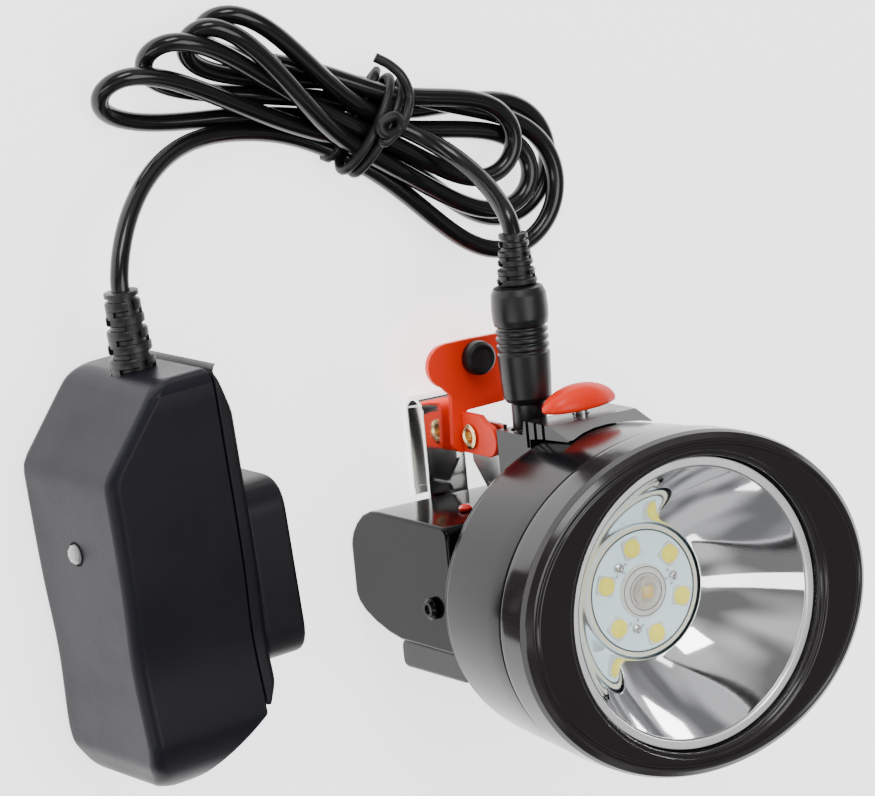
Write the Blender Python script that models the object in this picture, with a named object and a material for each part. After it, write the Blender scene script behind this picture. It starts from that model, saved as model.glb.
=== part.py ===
"""Miner's cap lamp on its charger: the lamp lies on its back and the charger lies beside it.

+Z is up and along the beam, +Y is the side of the lamp that carries the clip and the charging socket.
The origin is on the table, under the middle of the lamp. Lengths below are in millimetres.
"""

import math

import bmesh
import bpy
from mathutils import Matrix, Vector

MM = 0.001
GAP = 0.3

# Head
BEAM_Y = -7.0
FRONT_Z = 75.8
BEZEL_A = 42.0
BEZEL_B = 35.1
BEZEL_REAR_Z = 66.0
OPENING_R = 29.7
LIP_R = 27.8
CUP_REAR_Z = 38.8
BOARD_R = 13.6
BOARD_TOP_Z = 55.0
MOUTH_Z = 68.3
SMALL_LEDS = 6
FIRST_LED_ANGLE = -17.0
FIRST_SCREW_ANGLE = 13.0

# Battery pod
POD_HALF = 35.2
POD_TOP_Y = 10.6
POD_BOTTOM_Y = -16.0
CELL_Y = -2.7
CELL_Z = 13.3
CELL_R = 9.2

# Clip, socket, flap and switch
CLIP_X0 = -18.9
CLIP_X1 = -9.4
SOCKET_X = -6.5
SOCKET_Z = 28.7
SOCKET_TOP_Y = 25.0
BOSS_TOP_Y = 28.0
HINGE_Y = 22.4
HINGE_Z = 13.1
FLAP_Z = 8.4
FLAP_T = 1.4
LEVER_Z = 38.0

# Charger
CORD_R = 1.9
HANK_TOP = 8.0
ADAPTER_X = -105.5
ADAPTER_Y = -31.5
ADAPTER_TURN = 4.0
ADAPTER_T = 38.0
ADAPTER_LONG = 82.3
RELIEF_SEAT = 79.6
RELIEF_LONG = 18.5
ADAPTER_DEEP = 30.0
PARTING = 26.5
RELIEF_X = 19.5


def clear_scene():
    for obj in list(bpy.data.objects):
        bpy.data.objects.remove(obj, do_unlink=True)
    for mesh in list(bpy.data.meshes):
        bpy.data.meshes.remove(mesh)


def material(name, colour, rough, metal=0.0, glass=0.0):
    mat = bpy.data.materials.new(name)
    mat.use_nodes = True
    shader = mat.node_tree.nodes["Principled BSDF"]
    shader.inputs["Base Color"].default_value = (colour[0], colour[1], colour[2], 1.0)
    shader.inputs["Roughness"].default_value = rough
    shader.inputs["Metallic"].default_value = metal
    shader.inputs["Transmission Weight"].default_value = glass
    return mat


def finish_mesh(name, mesh, mat, smooth=False):
    """Wrap a built bmesh as a named object, with its faces turned outwards."""
    bmesh.ops.recalc_face_normals(mesh, faces=mesh.faces)
    data = bpy.data.meshes.new(name)
    mesh.to_mesh(data)
    mesh.free()
    for face in data.polygons:
        face.use_smooth = smooth
    obj = bpy.data.objects.new(name, data)
    bpy.context.scene.collection.objects.link(obj)
    if mat is not None:
        data.materials.append(mat)
    return obj


def loft(name, rings, mat, loop=False, count=64, smooth=True, centre=(0.0, BEAM_Y)):
    """Skin a stack of ovals, each given as (half width, half height, z)."""
    mesh = bmesh.new()
    rows = []
    for half_x, half_y, z in rings:
        row = []
        for k in range(count):
            turn = 2.0 * math.pi * k / count
            x = centre[0] + half_x * math.cos(turn)
            y = centre[1] + half_y * math.sin(turn)
            row.append(mesh.verts.new((x * MM, y * MM, z * MM)))
        rows.append(row)
    pairs = len(rows) if loop else len(rows) - 1
    for k in range(pairs):
        low = rows[k]
        high = rows[(k + 1) % len(rows)]
        for j in range(count):
            n = (j + 1) % count
            mesh.faces.new((low[j], low[n], high[n], high[j]))
    if not loop:
        mesh.faces.new(rows[0])
        mesh.faces.new(rows[-1])
    return finish_mesh(name, mesh, mat, smooth)


def lathe(name, profile, mat, at=(0.0, 0.0, 0.0), axis="Z", loop=False, count=32, smooth=True):
    """Turn a (radius, height) profile about an axis through the point at."""
    turned = {"X": Matrix.Rotation(math.radians(90.0), 4, "Y"), "Z": Matrix.Identity(4)}
    turned["Y"] = Matrix.Rotation(math.radians(-90.0), 4, "X")
    rings = [(radius, radius, height) for radius, height in profile]
    obj = loft(name, rings, mat, loop, count, smooth, (0.0, 0.0))
    place = Matrix.Translation(Vector(at) * MM) @ turned[axis]
    obj.data.transform(place)
    return obj


def prism(name, outline, axis, low, high, mat, smooth=False):
    """Extrude an outline along an axis. The outline is (y, z) for X, (x, z) for Y and (x, y) for Z."""
    mesh = bmesh.new()
    ends = []
    for depth in (low, high):
        row = []
        for a, b in outline:
            spot = {"X": (depth, a, b), "Y": (a, depth, b), "Z": (a, b, depth)}[axis]
            row.append(mesh.verts.new(Vector(spot) * MM))
        ends.append(row)
    mesh.faces.new(ends[0])
    mesh.faces.new(ends[1])
    for k in range(len(outline)):
        n = (k + 1) % len(outline)
        mesh.faces.new((ends[0][k], ends[0][n], ends[1][n], ends[1][k]))
    return finish_mesh(name, mesh, mat, smooth)


def box(name, low, high, mat):
    outline = [(low[0], low[1]), (high[0], low[1]), (high[0], high[1]), (low[0], high[1])]
    return prism(name, outline, "Z", low[2], high[2], mat)


def arc(centre, radius, start, end, count):
    """Points on an arc, angles in degrees."""
    points = []
    for k in range(count + 1):
        turn = math.radians(start + (end - start) * k / count)
        points.append((centre[0] + radius * math.cos(turn), centre[1] + radius * math.sin(turn)))
    return points


def rounded(x0, y0, x1, y1, radius, count=4):
    """Outline of a rectangle with round corners."""
    points = arc((x1 - radius, y1 - radius), radius, 0, 90, count)
    points += arc((x0 + radius, y1 - radius), radius, 90, 180, count)
    points += arc((x0 + radius, y0 + radius), radius, 180, 270, count)
    points += arc((x1 - radius, y0 + radius), radius, 270, 360, count)
    return points


def combine(obj, other, operation):
    """Add a Boolean of another object, which stays in the file as a hidden helper."""
    step = obj.modifiers.new(operation.title() + other.name, "BOOLEAN")
    step.operation = operation
    step.solver = "EXACT"
    step.object = other
    other.hide_render = True
    other.display_type = "WIRE"
    return obj


def bevelled(obj, width, segments=2, angle=40.0):
    step = obj.modifiers.new("Rounding", "BEVEL")
    step.width = width * MM
    step.segments = segments
    step.limit_method = "ANGLE"
    step.angle_limit = math.radians(angle)
    return obj


def cord(name, points, mat):
    """A round cord through points, with closed ends."""
    curve = bpy.data.curves.new(name, "CURVE")
    curve.dimensions = "3D"
    curve.bevel_depth = CORD_R * MM
    curve.bevel_resolution = 2
    curve.use_fill_caps = True
    spline = curve.splines.new("POLY")
    spline.points.add(len(points) - 1)
    for knot, spot in zip(spline.points, points):
        knot.co = (spot[0] * MM, spot[1] * MM, spot[2] * MM, 1.0)
    obj = bpy.data.objects.new(name, curve)
    bpy.context.scene.collection.objects.link(obj)
    curve.materials.append(mat)
    return obj


def smooth_path(knots, step=8.0):
    """Catmull-Rom points through the knots, about one every step."""
    spots = [Vector(k) for k in knots]
    full = [2 * spots[0] - spots[1]] + spots + [2 * spots[-1] - spots[-2]]
    path = []
    for k in range(1, len(full) - 2):
        a, b, c, d = full[k - 1 : k + 3]
        pieces = max(2, round((c - b).length / step))
        for j in range(pieces):
            t = j / pieces
            spot = 2 * b + (c - a) * t
            spot += (2 * a - 5 * b + 4 * c - d) * t * t
            spot += (3 * b - a - 3 * c + d) * t * t * t
            path.append(spot * 0.5)
    path.append(spots[-1])
    return path


def ribs(base_r, tip_r, low, high, count, groove):
    """Profile of a tapered sleeve with ring grooves, from its wide end to its narrow end."""
    points = [(base_r, low)]
    pitch = (high - low) / count
    for k in range(count):
        z0 = low + k * pitch
        r0 = base_r + (tip_r - base_r) * k / count
        r1 = base_r + (tip_r - base_r) * (k + 1) / count
        if k > 0:
            points.append((r0, z0 + 0.1))
        points.append((r1 + 0.1, z0 + pitch * 0.6))
        if k < count - 1:
            points.append((r1 - groove, z0 + pitch * 0.68))
            points.append((r1 - groove, z0 + pitch * 0.95))
    points.append((tip_r, high))
    return points


clear_scene()

# Materials
gloss_black = material("Black gloss plastic", (0.012, 0.012, 0.014), 0.12)
housing_black = material("Black housing plastic", (0.014, 0.014, 0.016), 0.18)
pod_black = material("Black pod plastic", (0.012, 0.012, 0.014), 0.14)
cover_black = material("Black cover plastic", (0.02, 0.02, 0.022), 0.4)
cap_black = material("Black end cap plastic", (0.013, 0.013, 0.015), 0.2)
clear = material("Clear lens", (0.95, 0.97, 1.0), 0.03, 0.0, 1.0)
seal_rubber = material("Seal rubber", (0.03, 0.03, 0.03), 0.7)
chrome = material("Reflector chrome", (0.93, 0.93, 0.94), 0.05, 1.0)
board_white = material("White circuit board", (0.75, 0.86, 0.9), 0.45)
emitter = material("Main LED", (0.9, 0.85, 0.7), 0.2)
small_emitter = material("Small LED", (0.95, 0.88, 0.45), 0.35)
screw_steel = material("Screw steel", (0.75, 0.75, 0.76), 0.3, 1.0)
sink_aluminium = material("Heat sink aluminium", (0.7, 0.71, 0.73), 0.4, 1.0)
circuit_green = material("Green circuit board", (0.03, 0.2, 0.08), 0.5)
cell_blue = material("Cell sleeve", (0.05, 0.16, 0.4), 0.35)
contact_metal = material("Contact plating", (0.75, 0.72, 0.62), 0.3, 1.0)
red_window = material("Red window", (0.75, 0.02, 0.02), 0.2)
clip_steel = material("Clip steel", (0.8, 0.8, 0.79), 0.15, 1.0)
socket_black = material("Socket housing plastic", (0.02, 0.02, 0.022), 0.3)
red_plastic = material("Red flap plastic", (0.9, 0.05, 0.015), 0.35)
red_lever = material("Red lever plastic", (0.88, 0.045, 0.012), 0.3)
stopper_rubber = material("Stopper rubber", (0.015, 0.015, 0.015), 0.6)
brass = material("Eyelet brass", (0.8, 0.6, 0.3), 0.25, 1.0)
bracket_steel = material("Bracket steel", (0.7, 0.7, 0.7), 0.3, 1.0)
plug_black = material("Plug rubber", (0.018, 0.018, 0.02), 0.45)
barrel_metal = material("Barrel nickel", (0.8, 0.79, 0.76), 0.2, 1.0)
relief_black = material("Strain relief rubber", (0.016, 0.016, 0.018), 0.5)
cord_black = material("Cord rubber", (0.012, 0.012, 0.014), 0.3)
tie_black = material("Twist tie", (0.02, 0.02, 0.022), 0.5)
case_black = material("Adapter case plastic", (0.03, 0.03, 0.034), 0.45)
back_black = material("Adapter back plastic", (0.025, 0.025, 0.028), 0.45)
light_clear = material("Charge light", (0.6, 0.6, 0.6), 0.25, 0.0, 0.6)
winding = material("Transformer tape", (0.7, 0.55, 0.1), 0.5)
blade_metal = material("Prong brass plate", (0.75, 0.74, 0.7), 0.25, 1.0)


def head():
    """Bezel, optics, boards and the cup behind them."""
    rings = [(41.2, 34.3, BEZEL_REAR_Z), (41.8, 34.9, 66.6), (BEZEL_A, BEZEL_B, 68.0)]
    rings += [(BEZEL_A, BEZEL_B, 73.4), (41.5, 34.6, 74.7), (40.4, 33.5, 75.6), (39.6, 32.7, FRONT_Z)]
    rings += [(30.2, 30.2, FRONT_Z), (OPENING_R, OPENING_R, 75.3), (28.8, 28.8, 72.8)]
    rings += [(LIP_R, LIP_R, 72.8), (LIP_R, LIP_R, 71.6), (38.6, 31.8, 71.6), (38.6, 31.8, BEZEL_REAR_Z)]
    loft("bezel_ring", rings, gloss_black, loop=True, count=72)
    here = (0.0, BEAM_Y, 0.0)
    lathe("front_lens", [(29.3, 69.9), (29.3, 71.3)], clear, here, count=56)
    seal = [(28.3, 68.6), (29.3, 68.6), (29.3, 69.6), (28.3, 69.6)]
    lathe("lens_seal", seal, seal_rubber, here, loop=True, count=40)

    rise = MOUTH_Z - 55.3
    spread = (26.6**2 - 14.0**2) / rise
    bowl = [(math.sqrt(14.0**2 + spread * rise * k / 7), 55.3 + rise * k / 7) for k in range(8)]
    back = [(r + 0.8, z - 0.7) for r, z in bowl[::-1]]
    back[-1] = (14.8, 55.3)
    profile = bowl + [(29.3, MOUTH_Z), (29.3, 67.5)] + back
    lathe("reflector", profile, chrome, here, loop=True, count=56)

    lathe("led_board", [(BOARD_R, 53.4), (BOARD_R, BOARD_TOP_Z)], board_white, here, count=40)
    base = BOARD_TOP_Z + GAP
    dome = [(5.4, base), (5.4, base + 0.9), (4.2, base + 1.0)]
    for degrees in (0, 30, 60, 85):
        turn = math.radians(degrees)
        dome.append((3.4 * math.cos(turn), base + 1.0 + 2.2 * math.sin(turn)))
    lathe("main_led", dome, emitter, here, count=32)
    for k in range(SMALL_LEDS):
        turn = math.radians(FIRST_LED_ANGLE + 60 * k)
        spot = (9.5 * math.cos(turn), BEAM_Y + 9.5 * math.sin(turn), 0.0)
        small = [(2.1, base), (2.1, base + 0.6), (1.5, base + 0.95)]
        lathe("small_led_%d" % (k + 1), small, small_emitter, spot, count=16)
    for k in range(3):
        turn = math.radians(FIRST_SCREW_ANGLE + 120 * k)
        spot = (7.9 * math.cos(turn), BEAM_Y + 7.9 * math.sin(turn), 0.0)
        cap = [(1.05, base), (1.05, base + 0.5), (0.8, base + 0.75)]
        lathe("board_screw_%d" % (k + 1), cap, screw_steel, spot, count=12)

    sink = [(20.0, 45.6), (20.0, 46.9), (16.0, 46.9), (16.0, 48.1), (20.0, 48.1), (20.0, 49.3), (16.0, 49.3)]
    sink += [(16.0, 50.5), (20.0, 50.5), (20.0, 51.7), (16.0, 51.7), (16.0, 53.1)]
    lathe("heat_sink", sink, sink_aluminium, here, count=40)
    lathe("driver_board", [(17.0, 43.4), (17.0, 45.0)], circuit_green, here, count=32)

    cup = [(25.5, 25.5, 41.6), (27.6, 27.6, 43.5), (27.6, 27.6, 67.2), (29.8, 29.8, 67.2), (29.8, 29.8, 71.3)]
    cup += [(38.3, 31.5, 71.3), (38.3, 31.5, 65.7), (41.1, 34.2, 65.7), (40.9, 34.0, 60.0)]
    cup += [(38.5, 33.1, 40.4), (37.9, 32.6, 39.2), (37.2, 31.9, CUP_REAR_Z)]
    loft("lamp_housing", cup, housing_black, count=72)


def pod():
    """Battery pod behind the head, with the cell, its contacts, a lower cover, a screw and the window."""
    front = CUP_REAR_Z - GAP
    section = [(POD_TOP_Y, front), (POD_TOP_Y, 12.0), (10.3, 8.4), (9.2, 5.4), (7.2, 2.8), (5.0, 1.0)]
    section += [(2.6, 0.0), (-8.2, 0.0), (-10.0, 1.0), (-11.8, 3.3), (-13.6, 7.2), (-15.1, 12.0)]
    section += [(-15.9, 16.5), (POD_BOTTOM_Y, front)]
    shell = prism("battery_pod", section, "X", -POD_HALF, 33.4, pod_black)
    bore = lathe("cut_bore", [(9.6, -33.9), (9.6, 36.0)], None, (0.0, CELL_Y, CELL_Z), "X")
    combine(shell, bore, "DIFFERENCE")
    slot = box("cut_clip_slot", (CLIP_X0 - 0.3, 5.6, 5.6), (CLIP_X1 + 0.3, 14.0, 7.4), None)
    combine(shell, slot, "DIFFERENCE")
    prism("pod_end_cap", section, "X", 33.7, POD_HALF, cap_black)
    lathe("battery_cell", [(CELL_R, -32.8), (CELL_R, 32.2)], cell_blue, (0.0, CELL_Y, CELL_Z), "X")
    lathe("contact_plate", [(6.0, -33.6), (6.0, -33.1)], contact_metal, (0.0, CELL_Y, CELL_Z), "X", count=20)
    lathe("contact_spring", [(6.0, 32.5), (6.0, 33.1)], contact_metal, (0.0, CELL_Y, CELL_Z), "X", count=20)
    low = rounded(-22.4, 13.4, POD_BOTTOM_Y - GAP, front, 2.2)
    prism("pod_cover", low, "X", -33.4, 33.4, cover_black)
    head_profile = [(2.3, -35.5), (2.3, -36.3), (1.6, -36.8)]
    screw = lathe("pod_screw", head_profile, gloss_black, (0.0, BEAM_Y, 31.0), "X", count=20)
    window = [(1.4, 10.9), (1.4, 11.5), (0.9, 11.9)]
    lathe("charge_window", window, red_window, (-23.2, 0.0, 27.3), "Y", count=16)


def clip():
    """Sprung steel strip, folded over, with one leg held in the pod."""
    outer = [(5.9, 7.0), (27.6, 7.0)] + arc((27.7, 3.5), 3.5, 80, -80, 8)
    outer += [(27.6, 0.0), (11.5, 0.0), (9.6, 0.5), (9.9, 1.4), (11.7, 1.0)]
    inner = arc((27.7, 3.5), 2.5, -80, 80, 8) + [(5.9, 6.0)]
    prism("cap_clip", outer + inner, "X", CLIP_X0, CLIP_X1, clip_steel)


def socket():
    """Charging socket and switch boss, grown from the pod's top and the back of the cup."""
    side = [(POD_TOP_Y + GAP, 23.5), (SOCKET_TOP_Y, 23.5), (SOCKET_TOP_Y, 33.4), (BOSS_TOP_Y, 34.2)]
    side += [(BOSS_TOP_Y, 44.0), (25.8, 50.5), (20.0, 50.5), (20.0, 38.4), (POD_TOP_Y + GAP, 38.4)]
    body = prism("socket_housing", side, "X", -11.6, 9.6, socket_black)
    around = [(38.2, 33.0, 36.0), (38.9, 33.5, 40.0), (41.3, 34.4, 60.0)]
    combine(body, loft("cut_cup", around, None, count=72), "DIFFERENCE")
    hole = lathe("cut_socket", [(4.2, 13.0), (4.2, 27.0)], None, (SOCKET_X, 0.0, SOCKET_Z), "Y", count=24)
    combine(body, hole, "DIFFERENCE")
    shaft_hole = lathe("cut_shaft", [(1.9, 26.6), (1.9, 30.0)], None, (0.0, 0.0, LEVER_Z), "Y", count=20)
    combine(body, shaft_hole, "DIFFERENCE")
    for k in range(3):
        z = 34.8 + 3.0 * k
        groove = box("cut_groove_%d" % k, (-13.0, 22.6, z), (-11.1, 30.0, z + 1.1), None)
        combine(body, groove, "DIFFERENCE")
    sleeve = [(3.2, 13.6), (3.9, 13.6), (3.9, 24.4), (3.2, 24.4)]
    place = (SOCKET_X, 0.0, SOCKET_Z)
    lathe("jack_sleeve", sleeve, contact_metal, place, "Y", loop=True, count=24)
    lathe("jack_pin", [(1.0, 13.6), (1.0, 21.5), (0.6, 22.3)], contact_metal, place, "Y", count=16)

    lathe("switch_shaft", [(1.6, 26.9), (1.6, 28.9)], bracket_steel, (0.0, 0.0, LEVER_Z), "Y", count=20)
    leaf = []
    for k in range(24):
        turn = 2.0 * math.pi * k / 24
        reach = 8.9 * math.cos(turn)
        leaf.append((reach, LEVER_Z + 3.6 * math.sin(turn) * (1.0 - 0.12 * math.cos(turn))))
    lever = prism("switch_lever", leaf, "Y", 29.2, 33.4, red_lever)
    bevelled(lever, 1.3, 2, 50.0)


def flap():
    """Red socket cover on its eyelet, standing open, and the steel bracket that carries it."""
    hinge = (0.0, HINGE_Y, HINGE_Z)
    back = FLAP_Z
    face = FLAP_Z + FLAP_T
    outline = [(0.2, 27.6), (0.4, 42.0), (-8.0, 42.1), (-13.4, 42.0)]
    outline += arc((-13.6, 37.3), 4.6, 90, 250, 7) + [(-13.2, 31.0), (-13.8, 20.8)]
    outline += arc((-11.6, 20.8), 2.2, 190, 270, 3) + [(-10.1, 18.6), (-10.1, 27.2)]
    cover = prism("port_cover", outline, "Z", back, face, red_plastic)
    ear = [(18.6, back), (18.6, 19.0)] + arc((22.1, 19.3), 3.5, 180, 0, 8)
    ear += [(27.2, 17.0), (27.2, back)]
    combine(cover, prism("add_ear", ear, "X", -11.5, -10.1, None), "UNION")
    eye = lathe("cut_eye", [(2.0, -12.5), (2.0, -9.0)], None, hinge, "X", count=20)
    combine(cover, eye, "DIFFERENCE")
    hole = lathe("cut_stopper", [(2.0, 5.0), (2.0, 12.0)], None, (SOCKET_X, 38.0, 0.0), "Z", count=20)
    combine(cover, hole, "DIFFERENCE")
    rubber = [(1.7, back), (1.7, face + GAP), (3.6, face + GAP), (3.6, face + 2.4), (3.1, face + 3.0)]
    lathe("cover_stopper", rubber, stopper_rubber, (SOCKET_X, 38.0, 0.0), "Z", count=24)
    eyelet = [(1.1, -12.1), (2.6, -12.1), (2.6, -11.8), (1.7, -11.8), (1.7, -8.0), (1.1, -8.0)]
    lathe("hinge_eyelet", eyelet, brass, hinge, "X", loop=True, count=24)
    pod_y = POD_TOP_Y + GAP
    plate = [(pod_y, 15.2), (16.5, 10.2), (24.5, 9.4), (25.6, 10.6), (25.6, 23.2), (pod_y, 23.2)]
    bracket = prism("hinge_bracket", plate, "X", -9.6, -8.7, bracket_steel)
    foot = box("add_bracket_foot", (-9.6, pod_y, 22.3), (-1.0, 24.6, 23.2), None)
    combine(bracket, foot, "UNION")
    pin = lathe("cut_pin", [(2.0, -10.5), (2.0, -7.5)], None, hinge, "X", count=20)
    combine(bracket, pin, "DIFFERENCE")


def plug():
    """DC plug, barrel and ribbed sleeve, pushed into the socket along -Y."""
    place = (SOCKET_X, 0.0, SOCKET_Z)
    barrel = [(1.5, 14.4), (2.8, 14.4), (2.8, 25.0), (1.5, 25.0)]
    lathe("plug_barrel", barrel, barrel_metal, place, "Y", loop=True, count=24)
    body = [(3.6, 25.3), (3.6, 30.6), (4.4, 31.0), (5.0, 31.8), (5.5, 41.0), (5.0, 41.4), (5.0, 41.9)]
    for k in range(3):
        y = 42.0 + 1.6 * k
        body += [(5.4, y), (5.4, y + 0.9), (5.0, y + 1.1), (5.0, y + 1.5)]
    body += [(5.6, 47.2), (5.9, 50.0), (5.6, 53.6), (4.4, 55.2)]
    lathe("dc_plug", body, plug_black, place, "Y", count=28)
    lathe("plug_relief", ribs(4.2, 2.9, 55.5, 66.0, 5, 0.8), relief_black, place, "Y", count=20)


def hank():
    """Tied hank of cord on the table, its tie, and the two runs that leave it."""
    left = Vector((-76.0, 107.0))
    right = Vector((3.0, 77.0))
    along = right - left
    bearing = math.degrees(math.atan2(along.y, along.x))
    spread = math.degrees(math.asin((17.0 - 12.0) / along.length))
    outline = arc(right, 17.0, bearing - 90 - spread, bearing + 90 + spread, 12)
    outline += arc(left, 12.0, bearing + 90 + spread, bearing + 270 - spread, 10)
    prism("cord_hank", outline, "Z", 0.0, HANK_TOP, cord_black)
    middle = left.lerp(right, 0.62)
    side = Vector((-along.y, along.x)).normalized()
    half = 12.0 + 5.0 * 0.62 + 0.6
    arch = [(-half - 1.4, 0.0), (-half - 1.4, 9.8), (half + 1.4, 9.8), (half + 1.4, 0.0)]
    arch += [(half, 0.0), (half, HANK_TOP + GAP), (-half, HANK_TOP + GAP), (-half, 0.0)]
    tie = prism("cord_tie", arch, "X", -2.6, 2.6, tie_black)
    tie.location = (middle.x * MM, middle.y * MM, 0.0)
    tie.rotation_euler = (0.0, 0.0, math.atan2(side.y, side.x) - math.pi / 2)

    drop = [(SOCKET_X, 66.3, SOCKET_Z), (SOCKET_X, 70.0, SOCKET_Z)]
    for k in range(1, 6):
        turn = math.radians(18.0 * k)
        drop.append((SOCKET_X, 70.0 + 11.0 * math.sin(turn), SOCKET_Z - 11.0 * (1.0 - math.cos(turn))))
    drop.append((SOCKET_X, 81.0, HANK_TOP + GAP))
    cord("cord_plug_run", drop, cord_black)


def adapter():
    """Wall adapter on its side: two case halves, boards, light, sleeve and folding prongs."""
    hold = bpy.data.objects.new("adapter_frame", None)
    bpy.context.scene.collection.objects.link(hold)
    hold.location = (ADAPTER_X * MM, ADAPTER_Y * MM, 0.0)
    hold.rotation_euler = (0.0, 0.0, math.radians(ADAPTER_TURN))
    side = [(0.0, 7.0), (2.5, 2.0), (8.0, 0.0), (13.0, 2.4), (27.0, 12.0), (ADAPTER_DEEP, 17.0)]
    side += [(ADAPTER_DEEP, 73.0), (28.5, 79.0), (26.0, ADAPTER_LONG)]
    side += [(14.5, ADAPTER_LONG), (1.0, 67.0), (0.0, 64.5)]
    end = arc((12.0, 12.0), 12.0, 180, 270, 6) + arc((26.0, 12.0), 12.0, 270, 360, 6)
    end = [(y, z) for z, y in end] + [(80.0, ADAPTER_T), (85.0, ADAPTER_T - 2.0), (85.0, 2.0), (80.0, 0.0)]
    pieces = []
    halves = [("adapter_front", -1.0, PARTING, case_black)]
    halves.append(("adapter_back", PARTING + GAP, 31.0, back_black))
    for name, low, high, mat in halves:
        half = prism(name, end, "X", low, high, mat)
        combine(half, prism("cut_side_" + name, side, "Z", -1.0, ADAPTER_T + 1.0, None), "INTERSECT")
        pieces.append(half)
    inside = [(2.0, 10.0), (12.0, 6.0), (24.0, 14.0), (28.0, 19.0), (28.0, 76.0), (14.0, 76.0), (2.0, 64.0)]
    hollow = prism("cut_hollow", inside, "Z", 3.0, ADAPTER_T - 3.0, None)
    combine(pieces[0], hollow, "DIFFERENCE")

    middle = (RELIEF_X, 0.0, ADAPTER_T / 2)
    seat = lathe("cut_seat", [(5.5, RELIEF_SEAT), (5.5, 90.0)], None, middle, "Y", count=20)
    combine(pieces[0], seat, "DIFFERENCE")
    boss = prism("add_boss", rounded(21.0, 1.5, 58.0, 36.5, 6.0), "X", 29.0, 39.0, None)
    combine(pieces[1], boss, "UNION")
    recess = box("cut_recess", (32.2, 26.0, 8.6), (40.0, 54.0, 29.4), None)
    combine(pieces[1], recess, "DIFFERENCE")
    bar = lathe("prong_bar", [(2.6, 9.0), (2.6, 29.0)], back_black, (35.2, 50.0, 0.0), "Z", count=16)
    blades = []
    for k in range(2):
        z = 12.0 + 12.7 * k
        blades.append(box("prong_%d" % (k + 1), (34.4, 28.5, z), (36.0, 47.1, z + 1.5), blade_metal))
    dome = [(2.0, -0.3), (1.9, -0.9), (1.2, -1.5)]
    light = lathe("charge_light", dome, light_clear, (0.0, 49.0, 19.0), "X", count=16)
    circuit = box("adapter_board", (8.0, 14.0, 5.0), (9.6, 62.0, 33.0), circuit_green)
    core = box("transformer", (10.0, 20.0, 8.0), (22.0, 44.0, 30.0), winding)
    relief_shape = ribs(5.0, 3.4, RELIEF_SEAT + GAP, RELIEF_SEAT + RELIEF_LONG, 6, 0.9)
    relief = lathe("adapter_relief", relief_shape, relief_black, (RELIEF_X, 0.0, 19.0), "Y", count=20)
    everything = pieces + blades + [bar, light, circuit, core, relief]
    helpers = ("cut_hollow", "add_boss", "cut_recess", "cut_seat")
    everything += [o for o in bpy.data.objects if o.name in helpers]
    everything += [o for o in bpy.data.objects if o.name.startswith("cut_side_")]
    for obj in everything:
        obj.parent = hold
    bpy.context.view_layer.update()
    tip = hold.matrix_world @ (Vector((RELIEF_X, RELIEF_SEAT + RELIEF_LONG + GAP, ADAPTER_T / 2)) * MM)
    way = hold.matrix_world.to_3x3() @ Vector((0.0, 1.0, 0.0))
    return tip / MM, way


head()
pod()
clip()
socket()
flap()
plug()
hank()
tip, way = adapter()
run = [tip + way * 2.5, (-92.6, 75.5, 17.2), (-90.0, 80.5, 13.2), (-85.5, 84.7, 8.8), (-80.5, 88.0, 5.4)]
run += [(-77.6, 90.4, 4.3), (-76.15, 93.4, 4.0)]
cord("cord_adapter_run", [tip] + smooth_path(run), cord_black)
bpy.context.view_layer.update()
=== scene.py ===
"""Miner's cap lamp with its wall charger: the visual model over the CAD frame.

Lengths are in millimetres. Each piece is scaled to metres once, when it is made.
"""

import math

import bmesh
import bpy
import numpy as np
from mathutils import Matrix, Vector


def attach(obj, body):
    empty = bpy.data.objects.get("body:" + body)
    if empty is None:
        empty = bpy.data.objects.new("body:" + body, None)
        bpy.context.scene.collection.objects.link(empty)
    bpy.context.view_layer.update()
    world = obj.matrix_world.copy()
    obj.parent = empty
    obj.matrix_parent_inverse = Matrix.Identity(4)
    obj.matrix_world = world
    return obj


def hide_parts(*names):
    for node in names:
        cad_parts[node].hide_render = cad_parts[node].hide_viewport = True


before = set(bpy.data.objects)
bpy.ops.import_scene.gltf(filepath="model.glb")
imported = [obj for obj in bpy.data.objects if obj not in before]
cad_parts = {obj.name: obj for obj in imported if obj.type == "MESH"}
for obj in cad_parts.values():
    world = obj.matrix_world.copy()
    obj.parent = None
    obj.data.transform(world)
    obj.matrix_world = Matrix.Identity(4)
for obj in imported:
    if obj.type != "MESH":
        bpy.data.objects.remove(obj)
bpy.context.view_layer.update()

MM = 0.001
BEAM = (0.0, -7.0)  # the head's axis, which runs up
CORD_R = 1.9
SOCKET = Vector((-6.5, 0.0, 28.7))  # a point on the axis of the charging socket and of the plug
HINGE = Vector((0.0, 22.4, 13.1))  # a point on the flap's axis, which runs along X
ADAPTER = Matrix.Translation((-105.5, -31.5, 0.0)) @ Matrix.Rotation(math.radians(4.0), 4, "Z")
UP_TO_Y = Matrix.Rotation(math.radians(-90), 4, "X")  # turns a profile's height towards +Y
UP_TO_MINUS_X = Matrix.Rotation(math.radians(-90), 4, "Y")
UP_TO_X = Matrix.Rotation(math.radians(90), 4, "Y")


# Builders


def loose(name, mesh):
    """A bmesh in mm becomes an object in metres."""
    bmesh.ops.recalc_face_normals(mesh, faces=mesh.faces)
    data = bpy.data.meshes.new(name)
    mesh.to_mesh(data)
    mesh.free()
    data.transform(Matrix.Scale(MM, 4))
    obj = bpy.data.objects.new(name, data)
    bpy.context.scene.collection.objects.link(obj)
    return obj


def carry(obj, mat, body, nodes):
    """A piece gets its finish, rides on its body, and hides the CAD nodes that it stands for."""
    if isinstance(nodes, str):
        nodes = (nodes,)
    obj.data.materials.append(mat)
    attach(obj, body)
    if nodes:
        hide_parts(*nodes)


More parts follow.
